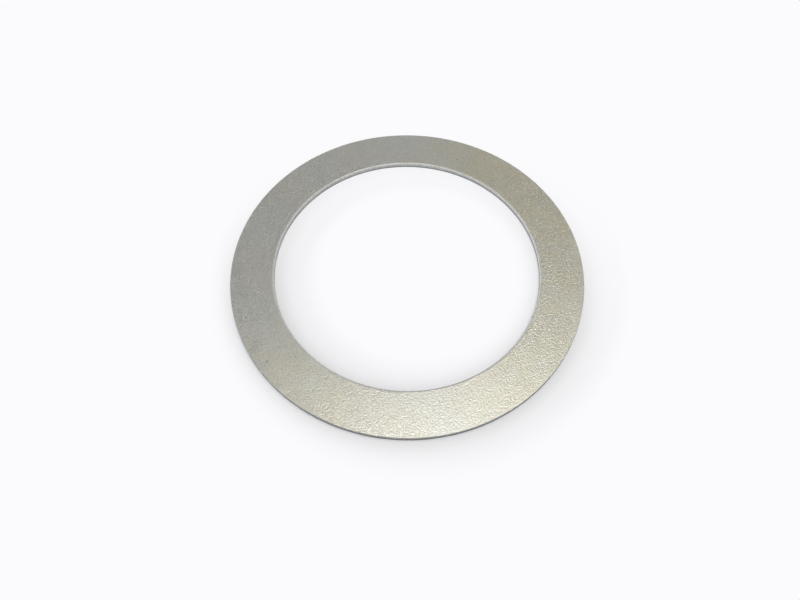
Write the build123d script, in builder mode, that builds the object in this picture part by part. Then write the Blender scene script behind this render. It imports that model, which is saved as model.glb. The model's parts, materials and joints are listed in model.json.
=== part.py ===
from build123d import *
import os

# Shim ring: a flat steel spacing ring punched from strip, made as one revolved solid.
# The origin is on the ring's axis in the plane of its lower face, and +Z runs up the bore.

os.makedirs("parts", exist_ok=True)

# What the ring fits (clearances are on the diameter)
shaft_diameter = 45.0
bore_clearance = 0.1
housing_diameter = 60.0
rim_clearance = 0.2

# The strip it is punched from
thickness = 1.0

# A sheared edge has three zones, which scale with the sheet: a rolled lip where the tool
# enters, a bright straight land, and a wall that breaks away across the gap of the die.
lip_width_share = 0.30
lip_depth_share = 0.20
land_share = 0.40
die_gap_share = 0.06

# Tumbling takes the burr off the corner where each cut comes out
burr_radius = 0.04

# Sizes that follow
bore_radius = (shaft_diameter + bore_clearance) / 2
rim_radius = (housing_diameter - rim_clearance) / 2
lip_width = lip_width_share * thickness
lip_depth = lip_depth_share * thickness
die_gap = die_gap_share * thickness
break_depth = thickness - lip_depth - land_share * thickness

with BuildPart() as shim_ring:
    with BuildSketch(Plane.XZ) as section:
        with BuildLine():
            # The bore is pierced downwards, so its lip is at the upper face
            bore_lip = TangentArc(
                (bore_radius + lip_width, thickness),
                (bore_radius, thickness - lip_depth),
                tangent=(-1, 0),
            )
            bore_land = Line(bore_lip @ 1, (bore_radius, break_depth))
            bore_break = Line(bore_land @ 1, (bore_radius + die_gap, 0))
            lower_face = Line(bore_break @ 1, (rim_radius - lip_width, 0))

            # The ring is then blanked out of the strip, which rolls its rim at the lower face
            rim_lip = TangentArc(
                (rim_radius - lip_width, 0),
                (rim_radius, lip_depth),
                tangent=(1, 0),
            )
            rim_land = Line(rim_lip @ 1, (rim_radius, thickness - break_depth))
            rim_break = Line(rim_land @ 1, (rim_radius - die_gap, thickness))
            upper_face = Line(rim_break @ 1, bore_lip @ 0)
        make_face()

        bore_burr = section.vertices().group_by(Axis.Y)[0].sort_by(Axis.X)[0]
        rim_burr = section.vertices().group_by(Axis.Y)[-1].sort_by(Axis.X)[-1]
        fillet([bore_burr, rim_burr], radius=burr_radius)
    revolve(axis=Axis.Z)

shim_ring.part.label = "shim_ring"
export_step(shim_ring.part, "parts/shim_ring.step")
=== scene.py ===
import bpy
import json
import math
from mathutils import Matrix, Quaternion, Vector


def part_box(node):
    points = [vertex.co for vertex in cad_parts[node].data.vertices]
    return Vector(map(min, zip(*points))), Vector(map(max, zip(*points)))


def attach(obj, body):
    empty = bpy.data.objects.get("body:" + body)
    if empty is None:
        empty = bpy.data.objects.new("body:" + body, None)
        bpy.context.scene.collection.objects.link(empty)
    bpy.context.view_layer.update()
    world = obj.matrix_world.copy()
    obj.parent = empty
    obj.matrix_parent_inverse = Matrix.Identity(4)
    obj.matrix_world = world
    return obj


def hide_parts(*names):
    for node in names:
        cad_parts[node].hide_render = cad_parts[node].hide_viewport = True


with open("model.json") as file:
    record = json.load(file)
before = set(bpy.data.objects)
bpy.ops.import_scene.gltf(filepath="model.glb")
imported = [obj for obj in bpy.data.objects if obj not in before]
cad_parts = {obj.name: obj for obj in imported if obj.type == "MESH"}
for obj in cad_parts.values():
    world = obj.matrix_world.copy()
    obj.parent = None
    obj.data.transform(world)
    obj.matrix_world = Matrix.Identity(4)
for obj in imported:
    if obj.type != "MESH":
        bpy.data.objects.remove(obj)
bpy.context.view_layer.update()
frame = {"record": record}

mounts = {mount["name"]: mount for mount in frame["record"]["mounts"]}
boreRadius = mounts["bore"]["dims"]["r_mm"] / 1000
rimRadius = mounts["rim"]["dims"]["r_mm"] / 1000
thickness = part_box("shim_ring")[1].z


ringShape = {
    "segments": 1440,  # round the ring
    "lipWidth": 0.00030,  # the rolled lip, along the face
    "lipDepth": 0.00020,  # and down the wall
    "lipSteps": 6,
    "landDepth": 0.00040,  # the straight part below it
    "dieGap": 0.00006,  # how far the torn part leans back
    "tornSteps": 6,
    "burrRadius": 0.00004,  # at the corners where the cuts came out
    "burrSteps": 3,
    "faceMargin": 0.00012,  # flat loops beside each edge, which keep the shading flat
    "sharpAngle": 14,  # degrees between faces, past which an edge shows
    "weld": 1e-7,  # joins the section's last loop to its first
    "nearEnough": 2e-6,  # for finding a loop by its place
    "levelNormal": 0.9999,  # a face as level as this is a rolled one
}


def cutWall(wall, inward):
    # (radius, depth below the face that the tool entered), down one sheared wall;
    # inward is +1 where the metal lies outside the wall's radius and -1 where it lies inside
    width, depth = ringShape["lipWidth"], ringShape["lipDepth"]
    arc = (width**2 + depth**2) / (2 * depth)
    sweep = math.asin(width / arc)
    stations = [(wall + inward * (width + ringShape["faceMargin"]), 0)]
    for step in range(ringShape["lipSteps"] + 1):
        turn = sweep * step / ringShape["lipSteps"]
        back = width - arc * math.sin(turn)
        stations.append((wall + inward * back, arc * (1 - math.cos(turn))))
    landEnd = depth + ringShape["landDepth"]
    stations.append((wall, landEnd))
    for step in range(1, ringShape["tornSteps"] + 1):
        share = step / ringShape["tornSteps"]
        lean = ringShape["dieGap"] * share
        stations.append((wall + inward * lean, landEnd + (thickness - landEnd) * share))
    flatStart = ringShape["dieGap"] + ringShape["faceMargin"]
    stations.append((wall + inward * flatStart, thickness))
    return stations


def buildRing():
    # one circle, extruded loop by loop round the section and closed on itself
    bore = [(radius, thickness - depth) for radius, depth in cutWall(boreRadius, 1)]
    rim = cutWall(rimRadius, -1)
    section = bore + rim
    bpy.ops.object.select_all(action="DESELECT")
    bpy.ops.mesh.primitive_circle_add(
        vertices=ringShape["segments"], radius=section[0][0], location=(0, 0, section[0][1])
    )
    ring = bpy.context.object
    ring.name = "shimRing"
    bpy.ops.object.transform_apply(location=True, rotation=True, scale=True)
    bpy.ops.object.mode_set(mode="EDIT")
    bpy.ops.mesh.select_all(action="SELECT")
    last = section[0]
    for station in section[1:] + section[:1]:
        grow = station[0] / last[0]
        rise = (0, 0, station[1] - last[1])
        bpy.ops.mesh.extrude_edges_move(TRANSFORM_OT_translate={"value": rise})
        bpy.ops.transform.resize(value=(grow, grow, 1), center_override=(0, 0, 0))
        last = station
    bpy.ops.mesh.select_all(action="SELECT")
    bpy.ops.mesh.remove_doubles(threshold=ringShape["weld"])
    bpy.ops.object.mode_set(mode="OBJECT")
    return ring


def onLoop(vertex, radius, height):
    near = ringShape["nearEnough"]
    offRadius = abs(math.hypot(vertex.co.x, vertex.co.y) - radius)
    return offRadius < near and abs(vertex.co.z - height) < near


def breakBurrs(ring):
    # rounds the two corners where the cuts came out
    lean = ringShape["dieGap"]
    corners = [(boreRadius + lean, 0), (rimRadius - lean, thickness)]
    mesh = ring.data
    bpy.ops.object.mode_set(mode="EDIT")
    bpy.ops.mesh.select_mode(type="EDGE")
    bpy.ops.mesh.select_all(action="DESELECT")
    bpy.ops.object.mode_set(mode="OBJECT")
    onCorner = [any(onLoop(vertex, *corner) for corner in corners) for vertex in mesh.vertices]
    for edge in mesh.edges:
        edge.select = onCorner[edge.vertices[0]] and onCorner[edge.vertices[1]]
    bpy.ops.object.mode_set(mode="EDIT")
    bpy.ops.mesh.bevel(
        offset=ringShape["burrRadius"], segments=ringShape["burrSteps"], affect="EDGES"
    )
    bpy.ops.mesh.select_all(action="SELECT")
    bpy.ops.mesh.normals_make_consistent(inside=False)
    bpy.ops.object.mode_set(mode="OBJECT")


def wallPlace(place):
    # which wall a point belongs to, how deep it lies below the face that the tool entered,
    # and how far back from that wall
    radius = math.hypot(place.x, place.y)
    if radius < (boreRadius + rimRadius) / 2:
        return "bore", thickness - place.z, radius - boreRadius
    return "rim", place.z, rimRadius - radius


def zoneOf(place):
    # the finish at a point of the section; on the rim's wall it is painted shade
    wall, depth, back = wallPlace(place)
    if back > max(ringShape["lipWidth"], ringShape["dieGap"]):
        return "rolledFace"
    if depth < ringShape["lipDepth"]:
        return wall + "Lip"
    if depth < ringShape["lipDepth"] + ringShape["landDepth"]:
        return wall + "Land"
    return wall + "Tear"


def assignFinishesAndShade(ring, materials):
    # the rim's wall zones get painted-shade finishes, the rest their own
    names = list(materials)
    for name in names:
        ring.data.materials.append(materials[name])
    for face in ring.data.polygons:
        level = abs(face.normal.z) > ringShape["levelNormal"]
        face.material_index = names.index("rolledFace" if level else zoneOf(face.center))


tearShape = {
    "line": {"along": "Z", "size": 0.0011, "reach": 0.00008},  # how the end of the land wanders
    "lineFade": 1.5,  # gone after two thirds of the torn part
    "grain": {"along": "NORMAL", "size": 0.00016, "reach": 0.000012},  # and how coarse it tears
    "grainRise": 4,  # full strength after a quarter of the torn part
    "grainEnd": 0.9,  # none beyond this share of the torn part
    "grainFall": 6,
    "noiseDepth": 3,  # octaves
    "noiseMiddle": 0.5,  # the level of the noise that moves nothing
}


def tearWalls(ring):
    # a punched wall tears along a wandering line and leaves a coarse grain below it
    groups = {name: ring.vertex_groups.new(name=name) for name in ("line", "grain")}
    landEnd = ringShape["lipDepth"] + ringShape["landDepth"]
    near = ringShape["nearEnough"]
    for vertex in ring.data.vertices:
        depth, back = wallPlace(vertex.co)[1:]
        if back > ringShape["dieGap"] + near or depth < landEnd - near:
            continue
        share = (depth - landEnd) / (thickness - landEnd)
        rise = share * tearShape["grainRise"]
        fall = (tearShape["grainEnd"] - share) * tearShape["grainFall"]
        groups["line"].add([vertex.index], max(0, 1 - share * tearShape["lineFade"]), "REPLACE")
        groups["grain"].add([vertex.index], max(0, min(1, rise, fall)), "REPLACE")
    for name in groups:
        tear = tearShape[name]
        clouds = bpy.data.textures.new(name, type="CLOUDS")
        clouds.noise_scale = tear["size"]
        clouds.noise_depth = tearShape["noiseDepth"]
        shift = ring.modifiers.new(name, "DISPLACE")
        shift.texture = clouds
        shift.texture_coords = "LOCAL"
        shift.vertex_group = name
        shift.direction = tear["along"]
        shift.mid_level = tearShape["noiseMiddle"]
        shift.strength = tear["reach"]
        bpy.context.view_layer.objects.active = ring
        bpy.ops.object.modifier_apply(modifier=name)


nodeGrid = {"across": 170, "down": 260, "rows": 4}  # where new nodes are laid out


def addNode(tree, kind, **settings):
    node = tree.nodes.new(kind)
    count = len(tree.nodes)
    row = count % nodeGrid["rows"]
    node.location = (nodeGrid["across"] * count, -nodeGrid["down"] * row)
    for name, value in settings.items():
        setattr(node, name, value)
    return node


def feed(tree, socket, value):
    # joins a socket to another one, or sets it to a number or a colour
    if isinstance(value, bpy.types.NodeSocket):
        tree.links.new(value, socket)
    elif isinstance(value, tuple) and len(socket.default_value) == 4:
        socket.default_value = (*value, 1)
    else:
        socket.default_value = value


def noise(tree, vector, scale, detail=2, roughness=0.5):
    node = addNode(tree, "ShaderNodeTexNoise")
    feed(tree, node.inputs["Vector"], vector)
    feed(tree, node.inputs["Scale"], scale)
    node.inputs["Detail"].default_value = detail
    node.inputs["Roughness"].default_value = roughness
    return node.outputs["Fac"]


def stretched(tree, vector, scale, turn=0.0):
    node = addNode(tree, "ShaderNodeMapping")
    node.inputs["Rotation"].default_value = (0, 0, turn)
    node.inputs["Scale"].default_value = scale
    tree.links.new(vector, node.inputs["Vector"])
    return node.outputs["Vector"]


def maths(tree, operation, *values):
    node = addNode(tree, "ShaderNodeMath", operation=operation)
    for socket, value in zip(node.inputs, values):
        feed(tree, socket, value)
    return node.outputs["Value"]


def remap(tree, value, span, result=(0, 1), curve="LINEAR"):
    node = addNode(tree, "ShaderNodeMapRange", interpolation_type=curve)
    feed(tree, node.inputs["Value"], value)
    for label, number in zip(("From Min", "From Max", "To Min", "To Max"), (*span, *result)):
        node.inputs[label].default_value = number
    return node.outputs["Result"]


def blend(tree, low, high, factor):
    mix = addNode(tree, "ShaderNodeMix", data_type="FLOAT")
    for label, value in (("Factor", factor), ("A", low), ("B", high)):
        feed(tree, mix.inputs[label], value)
    return mix.outputs["Result"]


# the places of the colour sockets among all those of a Mix node
mixSockets = {"factor": 0, "first": 6, "second": 7, "result": 2}


def mixColour(tree, first, second, factor):
    mix = addNode(tree, "ShaderNodeMix", data_type="RGBA")
    for label, value in (("factor", factor), ("first", first), ("second", second)):
        feed(tree, mix.inputs[mixSockets[label]], value)
    return mix.outputs[mixSockets["result"]]


def distance(tree, place, centre):
    node = addNode(tree, "ShaderNodeVectorMath", operation="DISTANCE")
    feed(tree, node.inputs[0], place)
    feed(tree, node.inputs[1], centre)
    return node.outputs["Value"]


def bump(tree, height, distance, shader):
    node = addNode(tree, "ShaderNodeBump")
    node.inputs["Distance"].default_value = distance
    tree.links.new(height, node.inputs["Height"])
    tree.links.new(node.outputs["Normal"], shader.inputs["Normal"])


def newGroup(name, inputs, outputs):
    group = bpy.data.node_groups.new(name, "ShaderNodeTree")
    for label, kind in inputs.items():
        group.interface.new_socket(name=label, in_out="INPUT", socket_type="NodeSocket" + kind)
    for label in outputs:
        group.interface.new_socket(name=label, in_out="OUTPUT", socket_type="NodeSocketFloat")
    given = addNode(group, "NodeGroupInput")
    made = addNode(group, "NodeGroupOutput")
    return group, given.outputs, made.inputs


def useGroup(tree, group, vector, **values):
    node = addNode(tree, "ShaderNodeGroup", node_tree=group)
    tree.links.new(vector, node.inputs["Vector"])
    for label, value in values.items():
        node.inputs[label].default_value = value
    return node.outputs


grainShape = {
    "fineScale": 2.6,  # against the pebbles
    "mottleScale": 0.14,  # patches a few millimetres wide
    "cloudScale": 0.029,  # and broad ones
    "pebbleDetail": 1,
    "mottleDetail": (3, 0.6),  # detail and roughness of the noise
    "cloudDetail": (3, 0.55),
    "fineRelief": 0.45,  # share of the fine grain in the height
    "fineTone": 0.35,  # and in the tone
}


def buildStripGrain():
    # the pebbled satin that rolling and tumbling leave on strip
    inputs = {"Vector": "Vector", "Scale": "Float"}
    group, given, made = newGroup("stripGrain", inputs, ("Height", "Tone", "Mottle", "Cloud"))
    place, scale = given["Vector"], given["Scale"]
    shape = grainShape
    pebble = noise(group, place, scale, shape["pebbleDetail"])
    fine = noise(group, place, maths(group, "MULTIPLY", scale, shape["fineScale"]))
    mottleScale = maths(group, "MULTIPLY", scale, shape["mottleScale"])
    mottle = noise(group, place, mottleScale, *shape["mottleDetail"])
    cloudScale = maths(group, "MULTIPLY", scale, shape["cloudScale"])
    cloud = noise(group, place, cloudScale, *shape["cloudDetail"])
    group.links.new(blend(group, pebble, fine, shape["fineRelief"]), made["Height"])
    group.links.new(blend(group, pebble, fine, shape["fineTone"]), made["Tone"])
    group.links.new(mottle, made["Mottle"])
    group.links.new(cloud, made["Cloud"])
    return group


streakShape = {
    "length": 0.06,  # how slowly the scores change down the wall
    "broadScale": 0.2,  # against the fine scores
    "broadTone": 0.5,  # share of the broad ones in the tone
    "scoreDetail": (3, 0.6),
}


def buildShearStreaks():
    # fine scores down a cut wall, drawn by the punch and die
    inputs = {"Vector": "Vector", "Scale": "Float"}
    group, given, made = newGroup("shearStreaks", inputs, ("Height", "Tone"))
    lengthwise = stretched(group, given["Vector"], (1, 1, streakShape["length"]))
    broadScale = maths(group, "MULTIPLY", given["Scale"], streakShape["broadScale"])
    scores = noise(group, lengthwise, given["Scale"], *streakShape["scoreDetail"])
    broad = noise(group, lengthwise, broadScale)
    group.links.new(scores, made["Height"])
    group.links.new(blend(group, scores, broad, streakShape["broadTone"]), made["Tone"])
    return group


markShape = {
    "pitScale": 420,  # places for a pit, to the metre
    "pitShare": 0.14,  # of those places
    "pitRim": (0.05, 0.11),  # its edge, as a share of the space round it
    "scratches": ((0.6, (25, 900, 25)), (2.1, (20, 1100, 20))),  # turn, and cells to the metre
    "scratchLevel": 0.62,
    "scratchWidth": 0.012,
    "patchScale": 160,
    "patchSpan": (0.52, 0.62),  # scratches show only in some patches
}


def buildHandlingMarks():
    # a few tiny pits and short faint scratches, as loose parts get in a bin
    group, given, made = newGroup("handlingMarks", {"Vector": "Vector"}, ("Pit", "Scratch"))
    place = given["Vector"]
    cells = addNode(group, "ShaderNodeTexVoronoi")
    group.links.new(place, cells.inputs["Vector"])
    cells.inputs["Scale"].default_value = markShape["pitScale"]
    chance = addNode(group, "ShaderNodeSeparateColor")
    group.links.new(cells.outputs["Color"], chance.inputs["Color"])
    picked = maths(group, "GREATER_THAN", chance.outputs["Red"], 1 - markShape["pitShare"])
    near = remap(group, cells.outputs["Distance"], markShape["pitRim"], (1, 0))
    group.links.new(maths(group, "MULTIPLY", picked, near), made["Pit"])

    # long thin noise cells, each set turned its own way;
    # a scratch lies where the noise crosses a level
    scratches = []
    for turn, cellScale in markShape["scratches"]:
        cellPlace = stretched(group, place, cellScale, turn)
        band = noise(group, cellPlace, scale=1, detail=0)
        offLevel = maths(group, "SUBTRACT", band, markShape["scratchLevel"])
        away = maths(group, "ABSOLUTE", offLevel)
        scratches.append(remap(group, away, (0, markShape["scratchWidth"]), (1, 0)))
    patches = remap(group, noise(group, place, markShape["patchScale"]), markShape["patchSpan"])
    both = maths(group, "MAXIMUM", *scratches)
    group.links.new(maths(group, "MULTIPLY", both, patches), made["Scratch"])
    return group


stainShape = {
    "edgeScale": 180,
    "edgeDetail": (4, 0.6),
    "edgeReach": 0.9,  # how unevenly it ends
    "fade": (0.75, 1.45),  # from full to none, with the unevenness added to the share of reach
}


def buildOilStain():
    # a soft patch that fades out from a centre, with an uneven edge
    inputs = {"Vector": "Vector", "Centre": "Vector", "Reach": "Float"}
    group, given, made = newGroup("oilStain", inputs, ("Stain",))
    away = distance(group, given["Vector"], given["Centre"])
    share = maths(group, "DIVIDE", away, given["Reach"])
    broken = noise(group, given["Vector"], stainShape["edgeScale"], *stainShape["edgeDetail"])
    uneven = maths(group, "MULTIPLY", broken, stainShape["edgeReach"])
    spread = maths(group, "ADD", share, uneven)
    group.links.new(remap(group, spread, stainShape["fade"], (1, 0)), made["Stain"])
    return group


stripGrain = buildStripGrain()
shearStreaks = buildShearStreaks()
handlingMarks = buildHandlingMarks()
oilStain = buildOilStain()
print("shared effects made")


def newMaterial(name):
    material = bpy.data.materials.new(name)
    material.use_nodes = True
    tree = material.node_tree
    place = addNode(tree, "ShaderNodeTexCoord")
    return material, tree, tree.nodes["Principled BSDF"], place.outputs["Object"]


faceFinish = {
    "grainScale": 3700,  # pebbles to the metre
    "grainHeight": 0.000075,
    "toneSpan": (0.32, 0.68),  # levels of the noise from darkest to lightest
    "dark": (0.473, 0.483, 0.470),
    "light": (0.622, 0.625, 0.599),
    "smooth": 0.332,  # the roughness runs from this
    "rough": 0.398,  # to this
    "mottleSheen": 0.4,  # share of the mottle in the sheen
    "sheenSpan": (0.35, 0.65),
    "straw": (0.58, 0.545, 0.455),  # the thin oil film
    "mottleFilm": 0.35,  # share of the mottle in the film
    "strawSpan": (0.42, 0.60),
    "strawAmount": 0.3,
    "stainDark": (0.487, 0.458, 0.358),  # and where it lies thicker
    "stainLight": (0.622, 0.598, 0.482),
    "unevenSpan": (0.38, 0.60),  # the mottle breaks the stains up
    "unevenLeast": 0.55,
    "stains": (
        {"place": (0.0235, 0.0145, 0.001), "reach": 0.028, "amount": 0.9},
        {"place": (0.0175, 0.0245, 0.001), "reach": 0.014, "amount": 0.5},
        {"place": (0.0205, -0.0150, 0.001), "reach": 0.017, "amount": 0.5},
        {"place": (-0.0125, -0.0225, 0.001), "reach": 0.018, "amount": 0.45},
    ),
    "pit": (0.30, 0.29, 0.27),
    "pitAmount": 0.8,
    "pitDepth": 0.5,  # against the grain's height
    "scratchShine": 0.08,  # how much smoother a scratch is
}


def rolledFaceMaterial():
    finish = faceFinish
    material, tree, shader, place = newMaterial("rolledFace")
    grain = useGroup(tree, stripGrain, place, Scale=finish["grainScale"])
    marks = useGroup(tree, handlingMarks, place)
    tone = remap(tree, grain["Tone"], finish["toneSpan"])
    steel = mixColour(tree, finish["dark"], finish["light"], tone)

    # oil: a thin film in cloudy patches, and stains over it
    patches = blend(tree, grain["Cloud"], grain["Mottle"], finish["mottleFilm"])
    film = remap(tree, patches, finish["strawSpan"], (0, finish["strawAmount"]))
    colour = mixColour(tree, steel, finish["straw"], film)
    oily = mixColour(tree, finish["stainDark"], finish["stainLight"], tone)
    uneven = remap(tree, grain["Mottle"], finish["unevenSpan"], (finish["unevenLeast"], 1))
    for stain in finish["stains"]:
        spread = useGroup(tree, oilStain, place, Centre=stain["place"], Reach=stain["reach"])
        broken = maths(tree, "MULTIPLY", spread["Stain"], uneven)
        share = maths(tree, "MULTIPLY", broken, stain["amount"])
        colour = mixColour(tree, colour, oily, share)

    pitted = maths(tree, "MULTIPLY", marks["Pit"], finish["pitAmount"])
    feed(tree, shader.inputs["Base Color"], mixColour(tree, colour, finish["pit"], pitted))
    shader.inputs["Metallic"].default_value = 1
    sheen = blend(tree, grain["Tone"], grain["Mottle"], finish["mottleSheen"])
    satin = remap(tree, sheen, finish["sheenSpan"], (finish["smooth"], finish["rough"]))
    shine = maths(tree, "MULTIPLY", marks["Scratch"], finish["scratchShine"])
    feed(tree, shader.inputs["Roughness"], maths(tree, "SUBTRACT", satin, shine))
    sunk = maths(tree, "MULTIPLY", marks["Pit"], finish["pitDepth"])
    bump(tree, maths(tree, "SUBTRACT", grain["Height"], sunk), finish["grainHeight"], shader)
    return material


# the bore's wall keeps its own grey, darker down its torn part; the rim's wall colours are
# painted shade, darkest at its lip by the floor and lighter at its torn top; streaks is the
# share of scores against grain
wallFinishesAndShade = {
    "boreLip": {
        "streaks": 0.0, "scale": 3600, "height": 0.000006,
        "dark": (0.46, 0.462, 0.448), "light": (0.59, 0.592, 0.575),
        "smooth": 0.52, "rough": 0.64,
    },
    "boreLand": {
        "streaks": 1.0, "scale": 5000, "height": 0.000004,
        "dark": (0.33, 0.33, 0.333), "light": (0.48, 0.48, 0.483),
        "smooth": 0.28, "rough": 0.42,
    },
    "boreTear": {
        "streaks": 0.35, "scale": 5200, "height": 0.000014,
        "dark": (0.19, 0.19, 0.192), "light": (0.34, 0.34, 0.342),
        "smooth": 0.50, "rough": 0.68,
    },
    # painted shade: the rim's lip, land and torn part are shaded copies of the bore's, darkest
    # by the floor
    "rimLip": {
        "streaks": 0.0, "scale": 3600, "height": 0.000006,
        "dark": (0.03, 0.03, 0.03), "light": (0.08, 0.08, 0.079),
        "smooth": 0.36, "rough": 0.48,
    },
    "rimLand": {
        "streaks": 1.0, "scale": 5000, "height": 0.000004,
        "dark": (0.05, 0.05, 0.049), "light": (0.14, 0.14, 0.138),
        "smooth": 0.30, "rough": 0.46,
    },
    "rimTear": {
        "streaks": 0.35, "scale": 5200, "height": 0.000014,
        "dark": (0.27, 0.27, 0.266), "light": (0.41, 0.41, 0.403),
        "smooth": 0.50, "rough": 0.68,
    },
}
wallToneSpan = (0.36, 0.64)


def wallMaterial(name):
    finish = wallFinishesAndShade[name]
    material, tree, shader, place = newMaterial(name)
    grain = useGroup(tree, stripGrain, place, Scale=finish["scale"])
    scores = useGroup(tree, shearStreaks, place, Scale=finish["scale"])
    broken = blend(tree, grain["Tone"], scores["Tone"], finish["streaks"])
    tone = remap(tree, broken, wallToneSpan)
    colour = mixColour(tree, finish["dark"], finish["light"], tone)
    feed(tree, shader.inputs["Base Color"], colour)
    shader.inputs["Metallic"].default_value = 1
    satin = remap(tree, broken, wallToneSpan, (finish["rough"], finish["smooth"]))
    feed(tree, shader.inputs["Roughness"], satin)
    relief = blend(tree, grain["Height"], scores["Height"], finish["streaks"])
    bump(tree, relief, finish["height"], shader)
    return material


materials = {"rolledFace": rolledFaceMaterial()}
for name in wallFinishesAndShade:
    materials[name] = wallMaterial(name)
print("finishes made:", ", ".join(materials))

ring = buildRing()
breakBurrs(ring)
assignFinishesAndShade(ring, materials)
tearWalls(ring)
bpy.ops.object.select_all(action="DESELECT")
ring.select_set(True)
bpy.context.view_layer.objects.active = ring
bpy.ops.object.shade_smooth_by_angle(angle=math.radians(ringShape["sharpAngle"]))
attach(ring, "root")
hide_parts("shim_ring")
print("ring built:", len(ring.data.polygons), "faces")


studio = {
    "floorSize": 4.0,
    "floorColour": (0.862, 0.870, 0.910),
    "floorRoughness": 0.9,
    "fadeCentre": (0.0, -0.02, 0.0),
    "farFade": (0.022, 0.052),  # metres from that point
    "shadeCentre": (0.0022, 0.0, 0.0),  # the shading lies a little to the right
    "ringFade": (0.0049, 0.0100),  # metres from the middle of a band like the ring's
    "backdropColour": (0.965, 0.965, 0.982),
    "skyLevel": 1.4,
    # height up the sky, and the share of the level there
    "skySteps": ((0.0, 0.85), (0.35, 1.0), (0.675, 0.175), (1.0, 0.141)),
    "farSky": (0.92, 0.98),  # how far round toward the back it dims
    "farShare": 0.0,  # what is left of it there
}

# area lamps, which all aim at the ring's origin
lamps = {
    "topLight": {
        "place": (0.088, -0.030, 0.594), "size": (0.433, 0.229), "watts": 1.19,
        "colour": (1.0, 0.97, 0.865),
    },
    "glintLight": {
        "place": (0.03, -0.06, 0.594), "size": (0.12, 0.12), "watts": 0.50,
        "colour": (1.0, 1.0, 1.0),
    },
    "backLight": {
        "place": (0.05, 0.55, 0.25), "size": (0.40, 0.30), "watts": 0.05,
        "colour": (0.97, 0.985, 1.0),
    },
    "sideLight": {
        "place": (-0.58, 0.0, 0.16), "size": (0.95, 0.30), "watts": 1.15,
        "colour": (0.97, 0.985, 1.0),
    },
    "frontLight": {
        "place": (0.0, -0.42, 0.42), "size": (0.40, 0.40), "watts": 0.13,
        "colour": (0.95, 0.975, 1.0),
    },
}


def buildFloor():
    # pale paper that runs out into an even white, and keeps its own shading near the ring
    bpy.ops.object.select_all(action="DESELECT")
    bpy.ops.mesh.primitive_plane_add(size=studio["floorSize"])
    floor = bpy.context.object
    floor.name = "floor"
    material, tree, shader, place = newMaterial("paperFloor")
    feed(tree, shader.inputs["Base Color"], studio["floorColour"])
    shader.inputs["Roughness"].default_value = studio["floorRoughness"]
    shader.inputs["Specular IOR Level"].default_value = 0
    away = distance(tree, place, studio["fadeCentre"])
    far = remap(tree, away, studio["farFade"], curve="SMOOTHSTEP")
    middle = (boreRadius + rimRadius) / 2
    offBand = maths(tree, "SUBTRACT", distance(tree, place, studio["shadeCentre"]), middle)
    beside = maths(tree, "ABSOLUTE", offBand)
    clear = remap(tree, beside, studio["ringFade"], curve="SMOOTHSTEP")
    faded = maths(tree, "MAXIMUM", far, clear)
    # the white is there for the camera and for reflections; other rays meet the paper
    ray = addNode(tree, "ShaderNodeLightPath").outputs
    mirrored = maths(tree, "MAXIMUM", ray["Is Glossy Ray"], ray["Is Transmission Ray"])
    seen = maths(tree, "MAXIMUM", ray["Is Camera Ray"], mirrored)
    white = addNode(tree, "ShaderNodeEmission")
    feed(tree, white.inputs["Color"], studio["backdropColour"])
    both = addNode(tree, "ShaderNodeMixShader")
    tree.links.new(maths(tree, "MULTIPLY", faded, seen), both.inputs[0])
    tree.links.new(shader.outputs["BSDF"], both.inputs[1])
    tree.links.new(white.outputs["Emission"], both.inputs[2])
    tree.links.new(both.outputs["Shader"], tree.nodes["Material Output"].inputs["Surface"])
    floor.data.materials.append(material)


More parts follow.
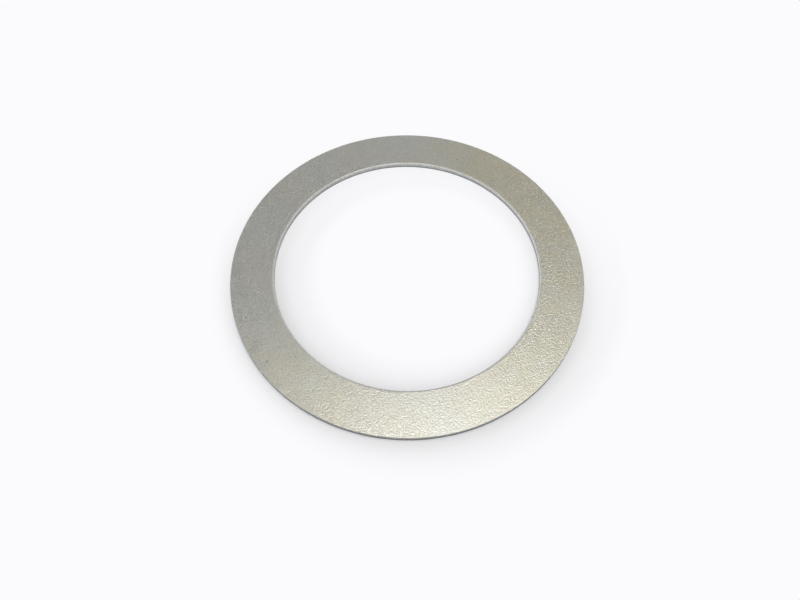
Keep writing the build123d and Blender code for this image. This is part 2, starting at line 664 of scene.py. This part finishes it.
def buildSky():
    world = bpy.data.worlds.new("studio")
    bpy.context.scene.world = world
    world.use_nodes = True
    tree = world.node_tree
    background = tree.nodes["Background"]
    place = addNode(tree, "ShaderNodeTexCoord")
    split = addNode(tree, "ShaderNodeSeparateXYZ")
    ramp = addNode(tree, "ShaderNodeValToRGB")
    stops = ramp.color_ramp.elements
    while len(stops) < len(studio["skySteps"]):
        stops.new(1.0)
    for stop, (height, share) in zip(stops, studio["skySteps"]):
        stop.position = height
        stop.color = (share, share, share, 1)
    tree.links.new(place.outputs["Generated"], split.inputs["Vector"])
    tree.links.new(split.outputs["Z"], ramp.inputs["Fac"])
    far = remap(tree, split.outputs["Y"], studio["farSky"], (1, studio["farShare"]))
    level = maths(tree, "MULTIPLY", far, studio["skyLevel"])
    # the camera sees an even backdrop in place of that sky
    direct = addNode(tree, "ShaderNodeLightPath").outputs["Is Camera Ray"]
    tree.links.new(blend(tree, level, 1, direct), background.inputs["Strength"])
    seen = mixColour(tree, ramp.outputs["Color"], studio["backdropColour"], direct)
    tree.links.new(seen, background.inputs["Color"])


def buildLamp(name):
    light = lamps[name]
    bpy.ops.object.light_add(type="AREA", location=light["place"])
    lamp = bpy.context.object
    lamp.name = name
    lamp.data.shape = "RECTANGLE"
    lamp.data.size, lamp.data.size_y = light["size"]
    lamp.data.energy = light["watts"]
    lamp.data.color = light["colour"]
    lamp.rotation_mode = "QUATERNION"
    lamp.rotation_quaternion = (-Vector(light["place"])).to_track_quat("-Z", "Y")


cameraView = {
    "lens": 26.0,  # mm
    "distance": 3.327,  # from the ring's origin, in outside radii
    "elevation": 58.0,  # degrees, as the roll is
    "aim": (-0.0356, -0.2122),  # the point of the floor it looks at, in outside radii
    "roll": -0.25,
    "nearest": 0.005,
}


def buildCamera():
    tilt = math.radians(cameraView["elevation"])
    eye = Vector((0, -math.cos(tilt), math.sin(tilt))) * cameraView["distance"] * rimRadius
    aim = Vector((*cameraView["aim"], 0)) * rimRadius
    bpy.ops.object.camera_add(location=eye)
    camera = bpy.context.object
    camera.data.lens = cameraView["lens"]
    camera.data.clip_start = cameraView["nearest"]
    camera.rotation_mode = "QUATERNION"
    roll = Quaternion((0, 0, 1), math.radians(cameraView["roll"]))
    camera.rotation_quaternion = (aim - eye).to_track_quat("-Z", "Y") @ roll
    bpy.context.scene.camera = camera


buildFloor()
buildSky()
for name in lamps:
    buildLamp(name)
buildCamera()
bpy.context.scene.view_settings.view_transform = "Standard"
print("floor, light and camera placed")
